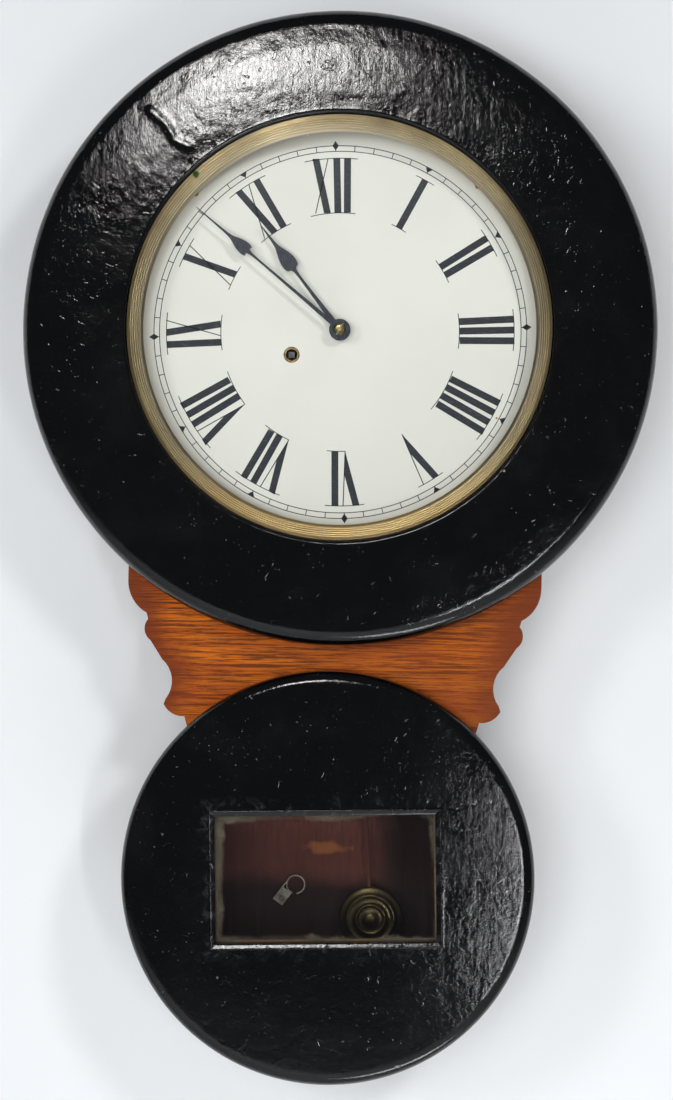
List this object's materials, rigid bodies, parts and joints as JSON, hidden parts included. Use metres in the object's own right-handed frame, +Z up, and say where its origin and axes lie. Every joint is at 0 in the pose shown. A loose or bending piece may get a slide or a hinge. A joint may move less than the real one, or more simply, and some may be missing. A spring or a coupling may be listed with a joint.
{
  "type": "schoolhouse wall clock",
  "caption": "Figure-eight wall clock with a round black ring door over a Roman dial, a scalloped wooden waist and a round lower door with a window onto its pendulum.",
  "frame": {"origin": "on the wall plane, straight behind the hands' axis", "axes": "-Y out of the wall towards the viewer, +Z up, +X to the viewer's right"},
  "size_m": [0.4719, 0.118, 0.7975],
  "materials": {
    "black_lacquer": "papier-mache, crinkled and gloss black lacquered",
    "case_wood": "dark stained bentwood, varnished",
    "waist_wood": "orange-brown varnished, strong dark grain",
    "plain_wood": "plain softwood, unfinished",
    "reeded_brass": "spun and reeded, dull lacquered",
    "movement_brass": "stamped and cut, satin",
    "bob_brass": "spun and polished, aged",
    "steel": "satin steel",
    "spring_steel": "tempered spring steel",
    "blued_steel": "blued and blackened steel",
    "dial_paint": "matte cream paint on zinc",
    "clear_glass": "old flat glass",
    "label_paper": "aged brown paper, plain"
  },
  "bodies": {
    "case": {"back_board": "case_wood", "upper_hoop": "case_wood", "lower_hoop": "case_wood", "neck_cheeks": "case_wood", "waist_board": "waist_wood", "glue_blocks": "plain_wood", "hanger_plate": "steel", "hanger_screws": "steel", "case_label": "label_paper", "key_clip": "steel", "key_clip_screw": "steel", "dial_board": "plain_wood", "dial_plate": "dial_paint", "dial_screws": "movement_brass", "winding_grommet": "movement_brass", "movement_screws": "steel", "back_plate": "movement_brass", "front_plate": "movement_brass", "pillars": "steel", "pillar_nuts": "steel", "mainspring": "spring_steel", "minute_stud": "steel", "suspension_cock": "movement_brass", "case_hinges": "movement_brass", "hinge_pins": "steel", "hook_screws": "movement_brass"},
    "minute_arbor": {"centre_wheel": "movement_brass", "cannon_pinion": "movement_brass", "minute_hand": "blued_steel", "hand_collet": "bob_brass", "hand_pin": "steel"},
    "hour_pipe": {"hour_wheel": "movement_brass", "hour_hand": "blued_steel"},
    "minute_wheel": {"minute_wheel": "movement_brass"},
    "second_arbor": {"second_wheel": "movement_brass"},
    "great_arbor": {"great_wheel": "movement_brass", "click_spring": "spring_steel"},
    "winding_arbor": {"winding_arbor": "steel"},
    "click": {"click": "steel"},
    "third_arbor": {"third_wheel": "movement_brass"},
    "escape_arbor": {"escape_wheel": "movement_brass"},
    "verge": {"verge": "steel"},
    "pendulum": {"suspension_spring": "spring_steel", "pendulum_rod": "spring_steel", "pendulum_bob": "bob_brass", "rating_nut": "bob_brass"},
    "upper_door": {"upper_door_frame": "case_wood", "upper_door_shell": "black_lacquer", "sight_ring": "reeded_brass", "dial_glass": "clear_glass", "glass_clips": "steel", "upper_door_fittings": "movement_brass"},
    "lower_door": {"lower_door_frame": "case_wood", "lower_door_shell": "black_lacquer", "window_moulding": "black_lacquer", "window_glass": "clear_glass", "window_beads": "plain_wood", "lower_door_fittings": "movement_brass"},
    "upper_hook": {"upper_hook": "movement_brass"},
    "lower_hook": {"lower_hook": "movement_brass"}
  },
  "joints": [
    {"name": "minute_hand_turn", "type": "hinge", "parent": "case", "child": "minute_arbor", "pos_m": [0, -0.09, 0], "axis": [0, 1, 0], "continuous": true},
    {"name": "hour_hand_turn", "type": "hinge", "parent": "case", "child": "hour_pipe", "pos_m": [0, -0.085, 0], "axis": [0, 1, 0], "continuous": true},
    {"name": "minute_wheel_turn", "type": "hinge", "parent": "case", "child": "minute_wheel", "pos_m": [0.0072, -0.077, -0.01247], "axis": [0, 1, 0], "continuous": true},
    {"name": "second_wheel_turn", "type": "hinge", "parent": "case", "child": "second_arbor", "pos_m": [0.00103, -0.055, -0.02638], "axis": [0, 1, 0], "continuous": true},
    {"name": "great_wheel_turn", "type": "hinge", "parent": "case", "child": "great_arbor", "pos_m": [-0.036, -0.055, -0.0188], "axis": [0, 1, 0], "continuous": true},
    {"name": "third_wheel_turn", "type": "hinge", "parent": "case", "child": "third_arbor", "pos_m": [0.013, -0.055, 0.02252], "axis": [0, 1, 0], "continuous": true},
    {"name": "escape_wheel_turn", "type": "hinge", "parent": "case", "child": "escape_arbor", "pos_m": [0, -0.055, 0.03869], "axis": [0, 1, 0], "continuous": true},
    {"name": "winding", "type": "hinge", "parent": "great_arbor", "child": "winding_arbor", "pos_m": [-0.036, -0.055, -0.0188], "axis": [0, 1, 0], "range_deg": [-2520, 0]},
    {"name": "click_lift", "type": "hinge", "parent": "great_arbor", "child": "click", "pos_m": [-0.017, -0.063, -0.0108], "axis": [0, 1, 0], "range_deg": [0, 12], "stiffness_Nm_per_rad": 0.002, "springref_deg": -10},
    {"name": "pendulum_swing", "type": "hinge", "parent": "case", "child": "pendulum", "pos_m": [0, -0.028, 0.062], "axis": [0, 1, 0], "range_deg": [-0.1, 7.3]},
    {"name": "verge_rock", "type": "hinge", "parent": "case", "child": "verge", "pos_m": [0, -0.055, 0.062], "axis": [0, 1, 0], "range_deg": [-0.1, 7.3]},
    {"name": "upper_door_swing", "type": "hinge", "parent": "case", "child": "upper_door", "pos_m": [-0.2255, -0.0826, 0], "axis": [0, 0, -1], "range_deg": [0, 100]},
    {"name": "lower_door_swing", "type": "hinge", "parent": "case", "child": "lower_door", "pos_m": [-0.1465, -0.0826, -0.408], "axis": [0, 0, -1], "range_deg": [0, 100]},
    {"name": "upper_hook_swing", "type": "hinge", "parent": "case", "child": "upper_hook", "pos_m": [0.2278, -0.06, 0], "axis": [-1, 0, 0], "range_deg": [0, 90]},
    {"name": "lower_hook_swing", "type": "hinge", "parent": "case", "child": "lower_hook", "pos_m": [0.146, -0.06, -0.408], "axis": [-1, 0, 0], "range_deg": [0, 90]}
  ],
  "couplings": [
    {"joint": "hour_hand_turn", "follows": "minute_hand_turn", "ratio": 0.083333},
    {"joint": "minute_wheel_turn", "follows": "minute_hand_turn", "ratio": -0.33333},
    {"joint": "second_wheel_turn", "follows": "minute_hand_turn", "ratio": -0.22222},
    {"joint": "great_wheel_turn", "follows": "minute_hand_turn", "ratio": 0.037037},
    {"joint": "third_wheel_turn", "follows": "minute_hand_turn", "ratio": -9},
    {"joint": "escape_wheel_turn", "follows": "minute_hand_turn", "ratio": 84.375},
    {"joint": "verge_rock", "follows": "pendulum_swing", "ratio": 1}
  ]
}
